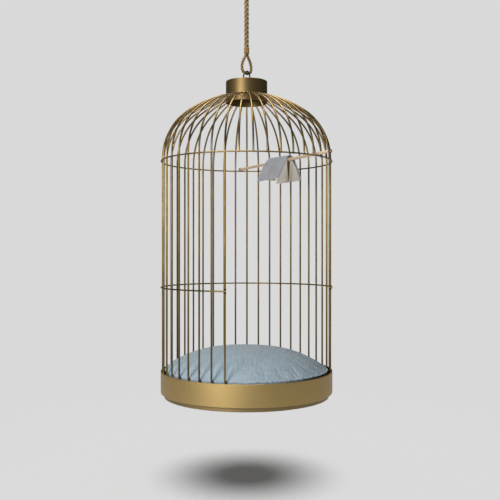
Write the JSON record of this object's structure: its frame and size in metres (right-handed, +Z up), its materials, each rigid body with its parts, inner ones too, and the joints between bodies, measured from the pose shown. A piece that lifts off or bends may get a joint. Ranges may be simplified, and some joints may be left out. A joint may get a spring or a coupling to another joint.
{
  "type": "hanging birdcage seat",
  "caption": "Human-size birdcage swing seat: round brass drum with a domed cushion, thin rods with an open doorway, a domed top, and a rope from a ceiling swivel; a book hangs over its perch.",
  "frame": {"origin": "middle of the ceiling plate's upper face, where it meets the ceiling", "axes": "+Z up, out of the plate towards the ceiling, along the hanging line; the doorway faces -Y and a little +X"},
  "size_m": [1.0016, 1.0153, 2.5894],
  "materials": {
    "brushed_brass": "satin, lacquered",
    "aged_brass_rod": "satin, aged",
    "dark_steel": "dark bronze paint",
    "blackened_steel": "blackened",
    "zinc_steel": "zinc plated",
    "plywood": "bare",
    "perch_wood": "sanded, waxed",
    "cushion_cloth": "plain weave",
    "rope_fibre": "twisted natural fibre",
    "whipping_twine": "waxed twine",
    "bush_plastic": "moulded",
    "cover_cloth": "smooth book cloth on board",
    "leaf_paper": "uncoated paper"
  },
  "bodies": {
    "ceiling": {"ceiling_plate": "brushed_brass", "swivel_housing": "brushed_brass", "thrust_bush": "bush_plastic"},
    "swivel": {"swivel_eye": "zinc_steel"},
    "shackle": {"shackle_bow": "zinc_steel", "shackle_pin": "zinc_steel"},
    "rope": {"thimble": "zinc_steel", "upper_eye": "rope_fibre", "upper_whipping": "whipping_twine", "main_rope": "rope_fibre", "lower_whipping": "whipping_twine", "lower_eye": "rope_fibre"},
    "cage": {"door_post_right": "aged_brass_rod", "right_rods": "aged_brass_rod", "back_rods": "aged_brass_rod", "left_rods": "aged_brass_rod", "front_left_rods": "aged_brass_rod", "door_post_left": "aged_brass_rod", "dome_ribs": "aged_brass_rod", "doorway_ribs": "aged_brass_rod", "upper_ring": "aged_brass_rod", "mid_ring": "aged_brass_rod", "mid_ring_lashings": "blackened_steel", "drum_band": "brushed_brass", "drum_floor": "dark_steel", "plinth_ring": "dark_steel", "seat_board": "plywood", "board_blocks": "plywood", "plinth_screws": "zinc_steel", "block_screws": "zinc_steel", "cap_shell": "brushed_brass", "cap_plate": "brushed_brass", "u_bolt": "blackened_steel", "u_bolt_washers": "blackened_steel", "u_bolt_nuts": "blackened_steel"},
    "cushion": {"cushion": "cushion_cloth"},
    "perch": {"perch": "perch_wood", "perch_end_caps": "perch_wood"},
    "book": {"book_cover": "cover_cloth", "book_leaves": "leaf_paper"}
  },
  "joints": [
    {"name": "ceiling_swivel", "type": "hinge", "parent": "ceiling", "child": "swivel", "pos_m": [0, 0, -0.04], "axis": [0, 0, 1], "continuous": true},
    {"name": "shackle_swing", "type": "hinge", "parent": "swivel", "child": "shackle", "pos_m": [0, 0, -0.08], "axis": [0, 1, 0], "range_deg": [-20, 20]},
    {"name": "rope_swing", "type": "hinge", "parent": "shackle", "child": "rope", "pos_m": [0, 0, -0.118], "axis": [1, 0, 0], "range_deg": [-20, 20]},
    {"name": "cage_tilt", "type": "hinge", "parent": "rope", "child": "cage", "pos_m": [0, 0, -0.693], "axis": [0.7071, -0.7071, 0], "range_deg": [-12, 12]},
    {"name": "cushion_lift", "type": "slide", "parent": "cage", "child": "cushion", "axis": [0, 0, 1], "range_m": [0, 0.12]},
    {"name": "perch_slide", "type": "slide", "parent": "cage", "child": "perch", "axis": [0.4736, -0.8807, 0], "range_m": [-0.09, 0.002]},
    {"name": "book_slide", "type": "slide", "parent": "perch", "child": "book", "axis": [0.4736, -0.8807, 0], "range_m": [-0.12, 0.12]}
  ]
}
